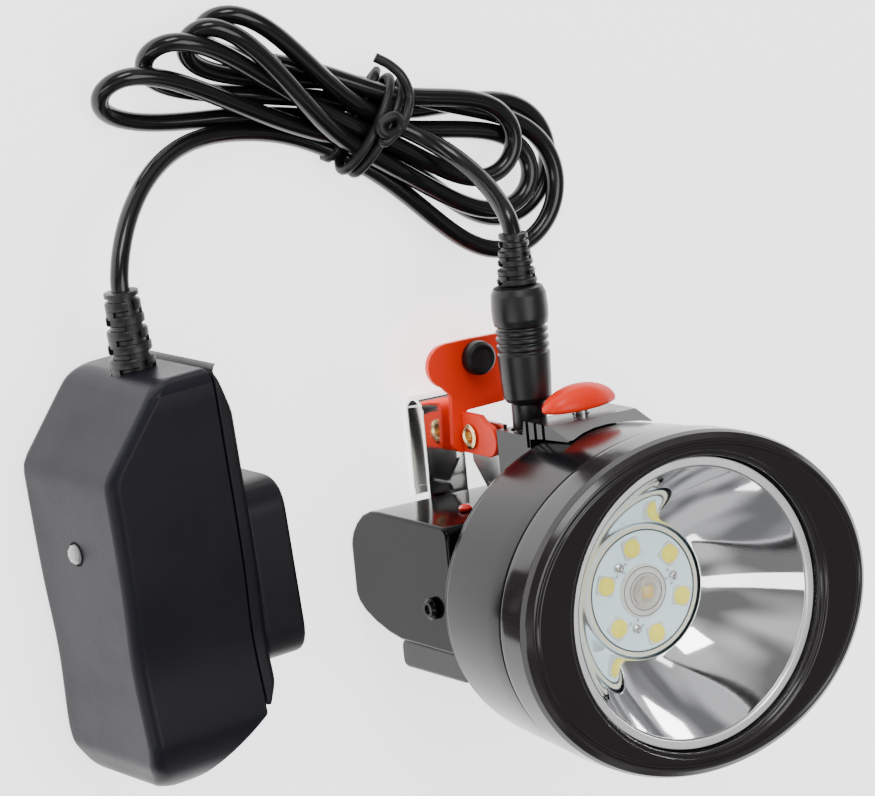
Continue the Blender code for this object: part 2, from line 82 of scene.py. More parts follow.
def wrap(name, mesh, mat, body, node=None):
    """A bmesh in mm becomes a smooth, named piece."""
    obj = loose(name, mesh)
    smooth(obj)
    carry(obj, mat, body, node)
    return obj


def smooth(obj):
    """Shades every face smooth."""
    for face in obj.data.polygons:
        face.use_smooth = True


def rounded_profile(points, radius, loop=False, steps=4):
    """Fillets the corners of an open or closed polyline in two or three dimensions."""
    nearly_straight = math.radians(172)
    spots = [np.array(p, float) for p in points]
    out = []
    n = len(spots)
    for k, spot in enumerate(spots):
        if not loop and k in (0, n - 1):
            out.append(spot)
            continue
        a = spots[k - 1] - spot
        b = spots[(k + 1) % n] - spot
        la, lb = np.linalg.norm(a), np.linalg.norm(b)
        if la < 1e-6 or lb < 1e-6:
            continue
        a, b = a / la, b / lb
        opening = math.acos(max(-1.0, min(1.0, float(a @ b))))
        if opening > nearly_straight:
            out.append(spot)
            continue
        cut = min(radius / math.tan(opening / 2), 0.46 * la, 0.46 * lb)
        start, end = spot + a * cut, spot + b * cut
        for j in range(steps + 1):
            t = j / steps
            out.append((1 - t) ** 2 * start + 2 * t * (1 - t) * spot + t * t * end)
    return out


def flat_outline(points, radius, steps=5):
    """A closed outline in a plane, with round corners."""
    return [(float(p[0]), float(p[1])) for p in rounded_profile(points, radius, True, steps)]


def arc(centre, radius, start, end, count):
    """Points on a round stretch between two angles in degrees."""
    turns = [math.radians(start + (end - start) * k / count) for k in range(count + 1)]
    return [(centre[0] + radius * math.cos(t), centre[1] + radius * math.sin(t)) for t in turns]


def full_turn(count):
    """Angles of a whole turn, in equal steps."""
    return [2 * math.pi * k / count for k in range(count)]


def round_ring(radius, height, turns):
    """Points about the Z axis, at the given angles."""
    return [(radius * math.cos(t), radius * math.sin(t), height) for t in turns]


def skin(mesh, rings, loop=False):
    """Quads between rings of equal count. The ends are capped, unless the last ring joins the first."""
    rows = [[mesh.verts.new(tuple(p)) for p in ring] for ring in rings]
    count = len(rows[0])
    for k in range(len(rows) if loop else len(rows) - 1):
        low, high = rows[k], rows[(k + 1) % len(rows)]
        for j in range(count):
            n = (j + 1) % count
            mesh.faces.new((low[j], low[n], high[n], high[j]))
    if not loop:
        for row in (rows[0], rows[-1]):
            middle = mesh.verts.new(sum((v.co for v in row), Vector()) / count)
            for j in range(count):
                mesh.faces.new((row[j], row[(j + 1) % count], middle))


def ovals(name, rings, mat, body, node, loop=False, count=192, radius=0.25):
    """A stack of ovals (half width, half height, z) about the beam, with its profile's corners softened."""
    stack = []
    for a, b, z in rounded_profile(rings, radius, loop):
        stack.append([(BEAM[0] + a * math.cos(t), BEAM[1] + b * math.sin(t), z) for t in full_turn(count)])
    mesh = bmesh.new()
    skin(mesh, stack, loop=loop)
    flattened(wrap(name, mesh, mat, body, node))


def turned(name, profile, mat, place, body, node=None, loop=False, count=96, radius=0.2):
    """A (radius, height) profile turned about the local Z of a matrix."""
    turns = full_turn(count)
    mesh = bmesh.new()
    skin(mesh, [round_ring(r, z, turns) for r, z in rounded_profile(profile, radius, loop)], loop=loop)
    bmesh.ops.transform(mesh, matrix=place, verts=mesh.verts)
    flattened(wrap(name, mesh, mat, body, node))


def flattened(obj):
    """Keeps large faces flat where they meet small rounded ones."""
    step = obj.modifiers.new("Flat faces", "WEIGHTED_NORMAL")
    step.weight = 50


def prism(outline, axis, low, high, place=None):
    """An outline given a thickness. It is (y, z) along X, (x, z) along Y, or (x, y) along Z."""
    mesh = bmesh.new()
    ends = []
    for depth in (low, high):
        row = []
        for a, b in outline:
            spot = {"X": (depth, a, b), "Y": (a, depth, b), "Z": (a, b, depth)}[axis]
            row.append(mesh.verts.new(spot))
        ends.append(row)
    mesh.faces.new(ends[0])
    mesh.faces.new(ends[1])
    for k in range(len(outline)):
        n = (k + 1) % len(outline)
        mesh.faces.new((ends[0][k], ends[0][n], ends[1][n], ends[1][k]))
    if place is not None:
        bmesh.ops.transform(mesh, matrix=place, verts=mesh.verts)
    return mesh


def slab(name, outline, axis, low, high, mat, body, node=None, edge=0.4, place=None):
    """A prism as a piece, with softened edges."""
    soften(wrap(name, prism(outline, axis, low, high, place), mat, body, node), edge)


def soften(obj, width, steps=3, angle=32.0):
    """Rounds the edges that are sharper than an angle in degrees."""
    step = obj.modifiers.new("Soft edges", "BEVEL")
    step.width = width * MM
    step.segments = steps
    step.limit_method = "ANGLE"
    step.angle_limit = math.radians(angle)
    step.harden_normals = True


def cut_out(obj, mesh):
    """Cuts the shape of a bmesh in mm out of a piece."""
    tool = loose("Cutter", mesh)
    step = obj.modifiers.new("Cut", "BOOLEAN")
    step.operation = "DIFFERENCE"
    step.solver = "EXACT"
    step.object = tool
    bpy.context.view_layer.update()
    made = bpy.data.meshes.new_from_object(obj.evaluated_get(bpy.context.evaluated_depsgraph_get()))
    obj.modifiers.clear()
    obj.data = made
    bpy.data.objects.remove(tool)
    clean = bmesh.new()
    clean.from_mesh(made)
    bmesh.ops.remove_doubles(clean, verts=clean.verts, dist=1e-6)
    bmesh.ops.dissolve_limit(clean, angle_limit=math.radians(1.0), verts=clean.verts, edges=clean.edges)
    clean.to_mesh(made)
    clean.free()
    smooth(obj)


def smooth_path(knots, step=2.5):
    """Catmull-Rom points through the knots, about one every step."""
    spots = [np.array(k, float) for k in knots]
    full = [2 * spots[0] - spots[1]] + spots + [2 * spots[-1] - spots[-2]]
    path = []
    for k in range(1, len(full) - 2):
        a, b, c, d = full[k - 1 : k + 3]
        pieces = max(2, round(float(np.linalg.norm(c - b)) / step))
        for j in range(pieces):
            t = j / pieces
            cubic = 2 * b + (c - a) * t + (2 * a - 5 * b + 4 * c - d) * t * t
            path.append(0.5 * (cubic + (3 * b - a - 3 * c + d) * t**3))
    path.append(spots[-1])
    return np.array(path)


def spaced(path, step):
    """The same line with points an equal distance apart."""
    gaps = np.linalg.norm(np.diff(path, axis=0), axis=1)
    run = np.concatenate([[0.0], np.cumsum(gaps)])
    marks = np.linspace(0.0, run[-1], max(3, round(run[-1] / step) + 1))
    return np.stack([np.interp(marks, run, path[:, k]) for k in range(3)], axis=1)


def curve_piece(name, points, radius, mat, body, node, resolution=8, nurbs=True):
    """One open round strand through the points, in mm."""
    curve = bpy.data.curves.new(name, "CURVE")
    curve.dimensions = "3D"
    curve.bevel_depth = radius * MM
    curve.bevel_resolution = resolution
    curve.use_fill_caps = True
    curve.resolution_u = 3
    spline = curve.splines.new("NURBS" if nurbs else "POLY")
    spline.points.add(len(points) - 1)
    for knot, spot in zip(spline.points, points):
        knot.co = (spot[0] * MM, spot[1] * MM, spot[2] * MM, 1.0)
    spline.use_smooth = True
    if nurbs:
        spline.order_u = 4
        spline.use_endpoint_u = True
    obj = bpy.data.objects.new(name, curve)
    bpy.context.scene.collection.objects.link(obj)
    carry(obj, mat, body, node)
    return obj


# Materials


def node_of(tree, kind, **inputs):
    """A new shader node with some of its inputs set."""
    made = tree.nodes.new(kind)
    for name, value in inputs.items():
        made.inputs[name.replace("_", " ")].default_value = value
    return made


def finish_of(
    name,
    colour,
    rough,
    metal=0.0,
    grain=0.0,
    grain_size=400.0,
    wear=0.12,
    mottle=0.0,
    scratches=0.0,
    coat=0.0,
    glass=0.0,
    light=0.0,
    alpha=1.0,
    specular=0.5,
):
    """A worn surface: uneven roughness, fine grain, faint colour change and a few scratches."""
    mat = bpy.data.materials.new(name)
    mat.use_nodes = True
    tree = mat.node_tree
    shader = tree.nodes["Principled BSDF"]
    shader.inputs["Base Color"].default_value = (*colour, 1.0)
    shader.inputs["Metallic"].default_value = metal
    shader.inputs["Coat Weight"].default_value = coat
    shader.inputs["Coat Roughness"].default_value = 0.05
    shader.inputs["Transmission Weight"].default_value = glass
    shader.inputs["Alpha"].default_value = alpha
    shader.inputs["Specular IOR Level"].default_value = specular
    # Emission: the floor's even brightness, and a painted glow on the reflector flange, the LED board and the
    # LEDs.
    if light:
        shader.inputs["Emission Color"].default_value = (*colour, 1.0)
        shader.inputs["Emission Strength"].default_value = light
    where = tree.nodes.new("ShaderNodeTexCoord")
    cloud = node_of(tree, "ShaderNodeTexNoise", Scale=60.0, Detail=5.0, Roughness=0.6)
    tree.links.new(where.outputs["Object"], cloud.inputs["Vector"])
    spread = node_of(tree, "ShaderNodeMapRange")
    spread.inputs["From Min"].default_value = 0.3
    spread.inputs["From Max"].default_value = 0.7
    spread.inputs["To Min"].default_value = max(0.01, rough * (1 - wear))
    spread.inputs["To Max"].default_value = min(1.0, rough * (1 + wear) + wear * 0.04)
    tree.links.new(cloud.outputs["Fac"], spread.inputs["Value"])
    tree.links.new(spread.outputs["Result"], shader.inputs["Roughness"])
    if mottle:
        tint = node_of(tree, "ShaderNodeMix")
        tint.data_type = "RGBA"
        tint.inputs[6].default_value = (*[c * (1 - mottle) for c in colour], 1.0)
        tint.inputs[7].default_value = (*[min(1.0, c * (1 + mottle)) for c in colour], 1.0)
        tree.links.new(cloud.outputs["Fac"], tint.inputs["Factor"])
        tree.links.new(tint.outputs[2], shader.inputs["Base Color"])
    last = None
    if grain:
        fine = node_of(tree, "ShaderNodeTexNoise", Scale=grain_size * 10.0, Detail=3.0)
        tree.links.new(where.outputs["Object"], fine.inputs["Vector"])
        last = node_of(tree, "ShaderNodeBump", Strength=grain)
        last.inputs["Distance"].default_value = 0.0001
        tree.links.new(fine.outputs["Fac"], last.inputs["Height"])
    if scratches:
        stretch = tree.nodes.new("ShaderNodeMapping")
        stretch.inputs["Rotation"].default_value = (0.4, 0.9, 0.3)
        stretch.inputs["Scale"].default_value = (1.0, 14.0, 14.0)
        tree.links.new(where.outputs["Object"], stretch.inputs["Vector"])
        lines = node_of(tree, "ShaderNodeTexNoise", Scale=70.0, Detail=2.0)
        tree.links.new(stretch.outputs["Vector"], lines.inputs["Vector"])
        thin = node_of(tree, "ShaderNodeMapRange")
        thin.inputs["From Min"].default_value = 0.68
        thin.inputs["From Max"].default_value = 0.74
        tree.links.new(lines.outputs["Fac"], thin.inputs["Value"])
        mark = node_of(tree, "ShaderNodeBump", Strength=scratches)
        mark.inputs["Distance"].default_value = 0.00005
        mark.invert = True
        tree.links.new(thin.outputs["Result"], mark.inputs["Height"])
        if last is not None:
            tree.links.new(last.outputs["Normal"], mark.inputs["Normal"])
        last = mark
    if last is not None:
        tree.links.new(last.outputs["Normal"], shader.inputs["Normal"])
    return mat


bezel_black = finish_of(
    "Bezel black gloss", (0.015, 0.012, 0.014), 0.14, wear=0.25, scratches=0.15, specular=0.4
)
cup_black = finish_of("Cup black plastic", (0.004, 0.004, 0.005), 0.14, wear=0.2, grain=0.03, specular=0.12)
pod_black = finish_of("Pod black plastic", (0.003, 0.003, 0.004), 0.11, wear=0.2, grain=0.03, specular=0.12)
cover_black = finish_of(
    "Cover black plastic", (0.006, 0.006, 0.007), 0.28, grain=0.1, wear=0.2, specular=0.25
)
socket_black = finish_of(
    "Socket black plastic", (0.007, 0.007, 0.008), 0.22, grain=0.08, wear=0.2, specular=0.35
)
clear = finish_of("Lens clear", (0.02, 0.02, 0.022), 0.02, wear=0.1, alpha=0.05, specular=1.0)
seal_rubber = finish_of("Seal rubber", (0.02, 0.02, 0.022), 0.6, grain=0.2)
chrome = finish_of(
    "Reflector chrome", (0.93, 0.935, 0.95), 0.045, metal=1.0, wear=0.35, grain=0.02, grain_size=60
)
# The flange's chrome carries a faint painted glow (emission), so it reads brighter than its metal alone would.
rim_chrome_painted_glow = finish_of(
    "Reflector flange with painted glow", (0.95, 0.95, 0.96), 0.3, metal=1.0, wear=0.2, grain=0.05, light=0.35
)
# The board's solder mask and cream ring carry a painted glow (emission) on top of their own colours.
board_white_painted_glow = finish_of("Board solder mask with painted glow", (0.72, 0.92, 0.97), 0.35, mottle=0.05, grain=0.05, light=0.45)
board_cream_painted_glow = finish_of("Board cream ring with painted glow", (0.88, 0.86, 0.68), 0.4, mottle=0.05, light=0.15)
board_dark = finish_of("Board dark ring", (0.10, 0.12, 0.13), 0.4, mottle=0.1)
led_body = finish_of("LED body", (0.93, 0.92, 0.86), 0.35, mottle=0.03)
led_dome = finish_of("LED dome", (0.96, 0.95, 0.88), 0.04, glass=0.75)
# The LED chip and the small LEDs' phosphor carry a faint painted glow (emission), which makes them brighter
# than their colour alone.
led_chip_painted_glow = finish_of("LED chip with painted glow", (0.95, 0.62, 0.03), 0.3, mottle=0.1, light=0.4)
small_yellow_painted_glow = finish_of("Small LED phosphor with painted glow", (0.97, 0.88, 0.10), 0.4, mottle=0.06, light=0.4)
small_body = finish_of("Small LED body", (0.93, 0.93, 0.90), 0.35, mottle=0.03)
screw_steel = finish_of("Screw steel", (0.72, 0.72, 0.73), 0.25, metal=1.0, wear=0.3)
solder = finish_of("Solder pads", (0.62, 0.62, 0.6), 0.3, metal=1.0, wear=0.3)
sink_metal = finish_of("Turned aluminium", (0.7, 0.71, 0.73), 0.35, metal=1.0, grain=0.2, wear=0.3)
circuit = finish_of("Circuit board", (0.03, 0.2, 0.08), 0.45, mottle=0.2, grain=0.1)
cell_sleeve = finish_of("Cell sleeve", (0.04, 0.14, 0.38), 0.3, mottle=0.08)
plating = finish_of("Contact plating", (0.75, 0.72, 0.62), 0.25, metal=1.0, wear=0.3)
red_window = finish_of("Red window", (0.78, 0.02, 0.015), 0.12, mottle=0.05, coat=0.5)
clip_steel = finish_of("Polished clip steel", (0.82, 0.82, 0.80), 0.09, metal=1.0, wear=0.3, scratches=0.3)
flap_red = finish_of(
    "Flap red plastic", (0.95, 0.032, 0.005), 0.34, mottle=0.03, grain=0.06, wear=0.2, specular=0.25
)
lever_red = finish_of(
    "Lever red plastic", (0.92, 0.026, 0.004), 0.3, mottle=0.03, grain=0.05, wear=0.2, specular=0.25
)
stopper_rubber = finish_of(
    "Stopper rubber", (0.006, 0.006, 0.007), 0.42, grain=0.15, wear=0.2, specular=0.35
)
brass = finish_of("Eyelet brass", (0.80, 0.60, 0.32), 0.2, metal=1.0, wear=0.4, mottle=0.15)
bracket_steel = finish_of("Bracket steel", (0.72, 0.72, 0.72), 0.2, metal=1.0, wear=0.4, scratches=0.3)
plug_rubber = finish_of(
    "Plug rubber", (0.008, 0.008, 0.009), 0.32, grain=0.1, grain_size=200, wear=0.25, specular=0.35
)
barrel_nickel = finish_of("Barrel nickel", (0.8, 0.79, 0.76), 0.16, metal=1.0, wear=0.3)
relief_rubber = finish_of(
    "Sleeve rubber", (0.008, 0.008, 0.009), 0.4, grain=0.12, grain_size=200, wear=0.25, specular=0.35
)
cord_black = finish_of(
    "Cord black", (0.006, 0.006, 0.007), 0.16, grain=0.04, grain_size=60, wear=0.25, specular=0.4
)
tie_black = finish_of("Twist tie black", (0.010, 0.010, 0.011), 0.36, grain=0.15, wear=0.25, specular=0.35)
case_black = finish_of(
    "Adapter face", (0.010, 0.010, 0.014), 0.36, specular=0.12,
    grain=0.22, grain_size=150, wear=0.2, mottle=0.15, scratches=0.25,
)
back_black = finish_of(
    "Adapter back", (0.009, 0.009, 0.011), 0.38, specular=0.18,
    grain=0.3, grain_size=150, wear=0.2, mottle=0.15, scratches=0.15,
)
light_lens = finish_of("Charge light lens", (0.75, 0.74, 0.76), 0.15, glass=0.5, mottle=0.05)
winding = finish_of("Transformer tape", (0.7, 0.5, 0.08), 0.45, mottle=0.15)
blade_metal = finish_of("Prong plate", (0.75, 0.74, 0.7), 0.22, metal=1.0, wear=0.4, scratches=0.3)

# The CAD meshes that show, or that are inside, keep their shape and get these finishes.
CAD_FINISHES = {
    "heat_sink": sink_metal,
    "driver_board": circuit,
    "battery_cell": cell_sleeve,
    "contact_plate": plating,
    "contact_spring": plating,
    "lens_seal": seal_rubber,
    "jack_sleeve": plating,
    "jack_pin": plating,
    "switch_shaft": bracket_steel,
    "plug_barrel": barrel_nickel,
    "adapter_board": circuit,
    "transformer": winding,
    "prong_1": blade_metal,
    "prong_2": blade_metal,
    "prong_bar": back_black,
    "socket_housing": socket_black,
    "hinge_bracket": bracket_steel,
}
for cad_node, finish in CAD_FINISHES.items():
    for material_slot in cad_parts[cad_node].material_slots:
        material_slot.material = finish


# Camera

DISTANCE = 1000.0
LENS_PER_DISTANCE = 0.2057  # a longer lens from further away keeps the object's size in the picture
looking_at = Vector((-37.0, 38.5, 43.1))
right = Vector((0.840, -0.094, 0.534)).normalized()
leaning_back = Vector((-0.512, 0.186, 0.8385))
back = (leaning_back - right * leaning_back.dot(right)).normalized()
facing = Matrix((right, back.cross(right), back)).transposed().to_4x4()
eye = bpy.data.objects.new("Camera", bpy.data.cameras.new("Camera"))
bpy.context.scene.collection.objects.link(eye)
eye.matrix_world = Matrix.Translation((looking_at + back * DISTANCE) * MM) @ facing
eye.data.sensor_width = 36.0
eye.data.lens = LENS_PER_DISTANCE * DISTANCE
eye.data.clip_start = 0.05
eye.data.clip_end = 20.0
bpy.context.scene.camera = eye


# Cord: one run from the plug, through the tied hank, to the adapter

TIE = np.array([-24.5, 89.6])  # the middle of the twist tie, seen from above
ALONG = np.array([0.935, -0.355])
ACROSS = np.array([0.355, 0.935])
STRAND_GAP = 3.85
CLEARANCE = 2 * CORD_R + 0.05  # least distance between the middles of two strands


def tie_spot(slot, height):
    """Where a strand goes through the tie, some strand gaps from its middle."""
    spot = TIE + ACROSS * slot * STRAND_GAP
    return np.array([spot[0], spot[1], height])


def hank_loop(start, end, tip, width, side, height, tilt=0.0):
    """Knots from one tie spot, out round a loop's tip, and back to another.

    A tilted loop leaves high and returns low. The side, 1 or -1, says which way round it goes.
    """
    tip = np.array(tip, float)
    out = tip - TIE
    out /= np.linalg.norm(out)
    across = np.array([-out[1], out[0]]) * side
    centre = tip - out * width / 2
    reach = out * 9.0
    half = across * width / 2
    first = start[:2] + reach + (centre + half - start[:2] - reach) * 0.5
    last = end[:2] + reach + (centre - half - end[:2] - reach) * 0.5
    knots = [np.array([*(start[:2] + out * 6.0), start[2]])]
    knots.append(np.array([*first, (start[2] + height + tilt) / 2]))
    for degrees in (90, 45, 0, -45, -90):
        t = math.radians(degrees)
        spot = centre + out * math.cos(t) * width / 2 + across * math.sin(t) * width / 2
        knots.append(np.array([*spot, height + tilt * math.sin(t)]))
    knots.append(np.array([*last, (end[2] + height - tilt) / 2]))
    knots.append(np.array([*(end[:2] + out * 6.0), end[2]]))
    return knots


def settle(path, held, tied, rounds=300):
    """Pushes crossing strands apart and down onto the table, and keeps the cord smooth.

    Each point is pulled back a little towards the path, more so in the tie. The held points stay still.
    """
    line = path.copy()
    n = len(line)
    pull = np.full(n, 0.05)
    for k in tied:
        pull[max(0, k - 2) : k + 3] = 0.12
    order = np.arange(n)[:, None] - np.arange(n)[None, :]
    step = float(np.mean(np.linalg.norm(np.diff(line, axis=0), axis=1)))
    another_strand = np.abs(order) > int(12.0 / step)
    later = np.sign(order)
    for _ in range(rounds):
        gap = line[:, None, :] - line[None, :, :]
        size = np.linalg.norm(gap, axis=2)
        near = another_strand & (size < CLEARANCE)
        weight = np.where(near, (CLEARANCE - size) / np.maximum(size, 0.05), 0.0)
        gap[:, :, 2] += np.where(near & (np.abs(gap[:, :, 2]) < 0.3), 0.3 * later, 0.0)
        push = (gap * weight[:, :, None]).sum(axis=1) / np.maximum(near.sum(axis=1), 1)[:, None]
        moved = line + 0.4 * push
        moved[:, 2] -= 0.01
        for wide in (1, 2, 3, 4):
            ends = moved[: -4 * wide], moved[4 * wide :]
            near_ends = moved[wide : -3 * wide], moved[3 * wide : -wide]
            middle = moved[2 * wide : -2 * wide]
            bend = sum(ends) - 4 * sum(near_ends) + 6 * middle
            middle -= bend * 0.045
        moved[:, 2] = np.maximum(moved[:, 2], CORD_R)
        moved += pull[:, None] * (path - moved)
        moved[held] = path[held]
        line = moved
    return line


LOWER, UPPER = 4.2, 7.5  # heights of the two layers of strands in the tie
slots = [(0.5, UPPER), (1.5, UPPER), (-0.5, UPPER), (1.0, LOWER), (-1.0, LOWER)]
slots += [(0.0, LOWER), (-1.5, UPPER), (2.0, LOWER), (-2.0, LOWER)]
ties = [tie_spot(*slot) for slot in slots]
# Each loop: its tip seen from above, width, side, height and tilt.
loops = [
    ((-62.5, 117.4), 12.0, -1, 7.4, 5.4),
    ((10.5, 79.5), 20.5, 1, 8.0, 0.0),
    ((-77.5, 112.6), 13.0, -1, 8.6, 5.2),
    ((21.5, 72.0), 28.0, 1, 2.2, 0.0),
    ((-88.0, 105.8), 12.0, -1, 7.2, 5.2),
    ((15.0, 70.5), 20.0, 1, 6.0, 0.0),
    ((-69.0, 114.6), 12.5, -1, 11.0, 4.6),
    ((19.5, 64.5), 30.0, 1, 5.5, 0.0),
]
SLEEVE_TIP = ADAPTER @ Vector((19.5, 98.4, 19.0))
from_plug = [(-6.5, 65.4, 28.7), (-6.5, 69.5, 27.2), (-6.3, 74.4, 20.5), (-7.6, 79.6, 14.0)]
from_plug += [(-11.5, 84.6, 10.2), (-18.0, 88.6, 7.6)]
to_adapter = [(-38.0, 89.6, 2.4), (-49.0, 92.6, 3.0), (-60.0, 93.6, 4.4), (-71.0, 91.8, 7.4)]
to_adapter += [(-80.5, 87.0, 11.2), (-87.2, 80.4, 15.0), (-91.4, 73.4, 17.8)]
knots = from_plug + [ties[0]]
for k, (tip, width, side, height, tilt) in enumerate(loops):
    knots += hank_loop(ties[k], ties[k + 1], tip, width, side, height, tilt) + [ties[k + 1]]
way = (ADAPTER.to_3x3() @ Vector((0.0, 1.0, 0.0))).normalized()
knots += to_adapter + [SLEEVE_TIP + way * 1.0, SLEEVE_TIP - way * 1.2]
path = spaced(smooth_path(knots), 2.0)
held = [0, 1, 2, len(path) - 3, len(path) - 2, len(path) - 1]
tied = [int(np.argmin(np.linalg.norm(path - spot, axis=1))) for spot in ties]
cord_line = spaced(settle(path, held, tied), 2.0)
cord_nodes = ("cord_plug_run", "cord_hank", "cord_adapter_run")
cord = curve_piece("charger_cord", cord_line, CORD_R, cord_black, "charger", cord_nodes)


# Stage

FLOOR_HALF = 3.0
floor_mat = finish_of("Floor white", (0.93, 0.93, 0.93), 0.75, wear=0.05, light=2.2)
floor_mesh = bmesh.new()
for x, y in ((-1, -1), (1, -1), (1, 1), (-1, 1)):
    floor_mesh.verts.new((x * FLOOR_HALF, y * FLOOR_HALF, -0.0004))
floor_mesh.faces.new(floor_mesh.verts)
floor_data = bpy.data.meshes.new("Floor")
floor_mesh.to_mesh(floor_data)
floor_mesh.free()
floor_data.materials.append(floor_mat)
floor = bpy.data.objects.new("Floor", floor_data)
bpy.context.scene.collection.objects.link(floor)

world = bpy.data.worlds.new("Studio")
world.use_nodes = True
sky = world.node_tree
patches = node_of(sky, "ShaderNodeTexNoise", Scale=1.7, Detail=1.0)
sky.links.new(sky.nodes.new("ShaderNodeTexCoord").outputs["Generated"], patches.inputs["Vector"])
brightness = node_of(sky, "ShaderNodeMapRange", From_Min=0.42, From_Max=0.6, To_Min=0.22, To_Max=0.85)
sky.links.new(patches.outputs["Fac"], brightness.inputs["Value"])
sky.nodes["Background"].inputs["Color"].default_value = (1.0, 1.0, 1.0, 1.0)
sky.links.new(brightness.outputs["Result"], sky.nodes["Background"].inputs["Strength"])
bpy.context.scene.world = world


def soft_box(name, place, aim, size, watts, tall=None):
    """A rectangular light aimed at a point."""
    data = bpy.data.lights.new(name, "AREA")
    data.shape = "RECTANGLE"
    data.size = size
    data.size_y = tall or size
    data.energy = watts
    obj = bpy.data.objects.new(name, data)
    bpy.context.scene.collection.objects.link(obj)
    obj.location = place
    obj.rotation_euler = (Vector(aim) - Vector(place)).to_track_quat("-Z", "Y").to_euler()


soft_box("Soft box over", (0.1, 0.1, 1.2), (0.0, 0.0, 0.0), 0.7, 7.0)
soft_box("Soft box top side", (-0.3, 1.0, 0.8), (0.0, 0.0, 0.05), 0.6, 6.0, 0.35)
soft_box("Soft box left", (-1.1, -0.2, 0.5), (0.0, 0.0, 0.05), 0.25, 2.5, 0.8)


# Head: its round parts stand on the beam's axis

on_beam = Matrix.Translation((*BEAM, 0.0))
bezel = [(41.5, 34.6, 66.0), (41.9, 35.0, 66.4), (42.0, 35.1, 68.0), (42.0, 35.1, 73.4), (41.5, 34.6, 74.7)]
bezel += [(40.4, 33.5, 75.6), (39.9, 33.0, 75.8), (39.6, 32.7, 75.4), (39.2, 32.3, 75.4), (38.9, 32.0, 75.8)]
bezel += [(31.4, 31.4, 75.8), (31.1, 31.1, 75.4), (30.5, 30.5, 75.4), (30.1, 30.1, 75.0), (30.1, 30.1, 72.6)]
bezel += [(30.4, 30.4, 71.6), (38.6, 31.8, 71.6), (38.6, 31.8, 66.0)]
ovals("bezel_shell", bezel, bezel_black, "lamp", "bezel_ring", loop=True, radius=0.5)
cup = [(25.5, 25.5, 41.6), (27.6, 27.6, 43.5), (27.6, 27.6, 67.2), (29.8, 29.8, 67.2), (29.8, 29.8, 71.3)]
cup += [(38.3, 31.5, 71.3), (38.3, 31.5, 65.7), (41.3, 34.4, 65.7), (41.6, 34.7, 65.4), (41.2, 34.3, 60.0)]
cup += [(38.6, 33.1, 41.6), (38.4, 32.9, 41.2), (38.4, 32.9, 40.6), (37.7, 32.4, 39.3), (36.8, 31.5, 38.8)]
ovals("cup_shell", cup, cup_black, "lamp", "lamp_housing", radius=0.8)

# The bowl is a paraboloid: its radius squared grows evenly with its height.
BOWL_FLOOR, BOWL_RIM, BOWL_STEPS = 55.3, 73.0, 32
BOWL_FLOOR_RADIUS, BOWL_GROWTH = 14.0, 32.0
bowl = []
for k in range(BOWL_STEPS + 1):
    rise = (BOWL_RIM - BOWL_FLOOR) * k / BOWL_STEPS
    bowl.append((math.sqrt(BOWL_FLOOR_RADIUS**2 + BOWL_GROWTH * rise), BOWL_FLOOR + rise))
behind = [(r + 0.8, z - 0.7) for r, z in bowl[::-1]]
behind[-1] = (14.8, BOWL_FLOOR)
bowl += [(29.7, 73.1), (29.7, 72.4)] + behind
turned("reflector_bowl", bowl, chrome, on_beam, "lamp", "reflector", loop=True, count=192, radius=0.15)
flange = [(27.9, 73.12), (28.2, 73.4), (29.5, 73.4), (29.7, 73.12)]
turned(
    "reflector_flange", flange, rim_chrome_painted_glow, on_beam, "lamp", loop=True, count=160, radius=0.1
)
turned("lens_disc", [(29.8, 73.7), (29.8, 74.7)], clear, on_beam, "lamp", "front_lens", count=128)

turned("board_disc", [(13.6, 53.4), (13.6, 55.0)], board_white_painted_glow, on_beam, "lamp", "led_board", count=128)
cream = [(12.75, 55.0), (12.75, 55.07), (13.5, 55.07), (13.5, 55.0)]
turned("board_cream_ring", cream, board_cream_painted_glow, on_beam, "lamp", loop=True, radius=0.0)
dark = [(12.4, 55.0), (12.4, 55.09), (12.72, 55.09), (12.72, 55.0)]
turned("board_dark_ring", dark, board_dark, on_beam, "lamp", loop=True, radius=0.0)
led_base = [(5.6, 55.05), (5.6, 55.5), (5.2, 55.9), (4.6, 55.9), (4.5, 55.7), (4.2, 55.7)]
led_base += [(4.1, 56.2), (3.6, 56.3)]
turned("main_led_base", led_base, led_body, on_beam, "lamp", "main_led", count=96, radius=0.1)
for k, (inner, outer, z) in enumerate(((5.0, 5.15, 55.95), (3.75, 3.9, 56.32))):
    name = "main_led_line_%d" % (k + 1)
    line = [(inner, z - 0.1), (inner, z), (outer, z), (outer, z - 0.1)]
    turned(name, line, board_dark, on_beam, "lamp", loop=True, radius=0.0)
dome = []
for degrees in range(0, 90, 6):
    t = math.radians(degrees)
    dome.append((3.4 * math.cos(t), 56.35 + 2.1 * math.sin(t)))
turned("main_led_dome", dome, led_dome, on_beam, "lamp", count=64, radius=0.0)
chip = flat_outline([(-1.0, -8.0), (1.0, -8.0), (1.0, -6.0), (-1.0, -6.0)], 0.25)
slab("main_led_chip", chip, "Z", 56.3, 56.6, led_chip_painted_glow, "lamp", edge=0.08)


def around(radius, degrees):
    """A shift from a circle's middle to a place on it."""
    t = math.radians(degrees)
    return Matrix.Translation((radius * math.cos(t), radius * math.sin(t), 0.0))


def facing_out(radius, degrees):
    """A place on a circle round the beam, turned to face outwards."""
    return on_beam @ around(radius, degrees) @ Matrix.Rotation(math.radians(degrees), 4, "Z")


led_square = flat_outline([(-2.1, -2.1), (2.1, -2.1), (2.1, 2.1), (-2.1, 2.1)], 0.8)
glow = [(1.95, 55.65), (1.85, 55.95), (1.4, 56.25), (0.5, 56.4)]
for k in range(6):
    name = "small_led_base_%d" % (k + 1)
    node = "small_led_%d" % (k + 1)
    spot = facing_out(9.5, -17 + 60 * k)
    slab(name, led_square, "Z", 55.02, 55.7, small_body, "lamp", edge=0.15, place=spot)
    turned("small_led_glow_%d" % (k + 1), glow, small_yellow_painted_glow, spot, "lamp", node, count=32)

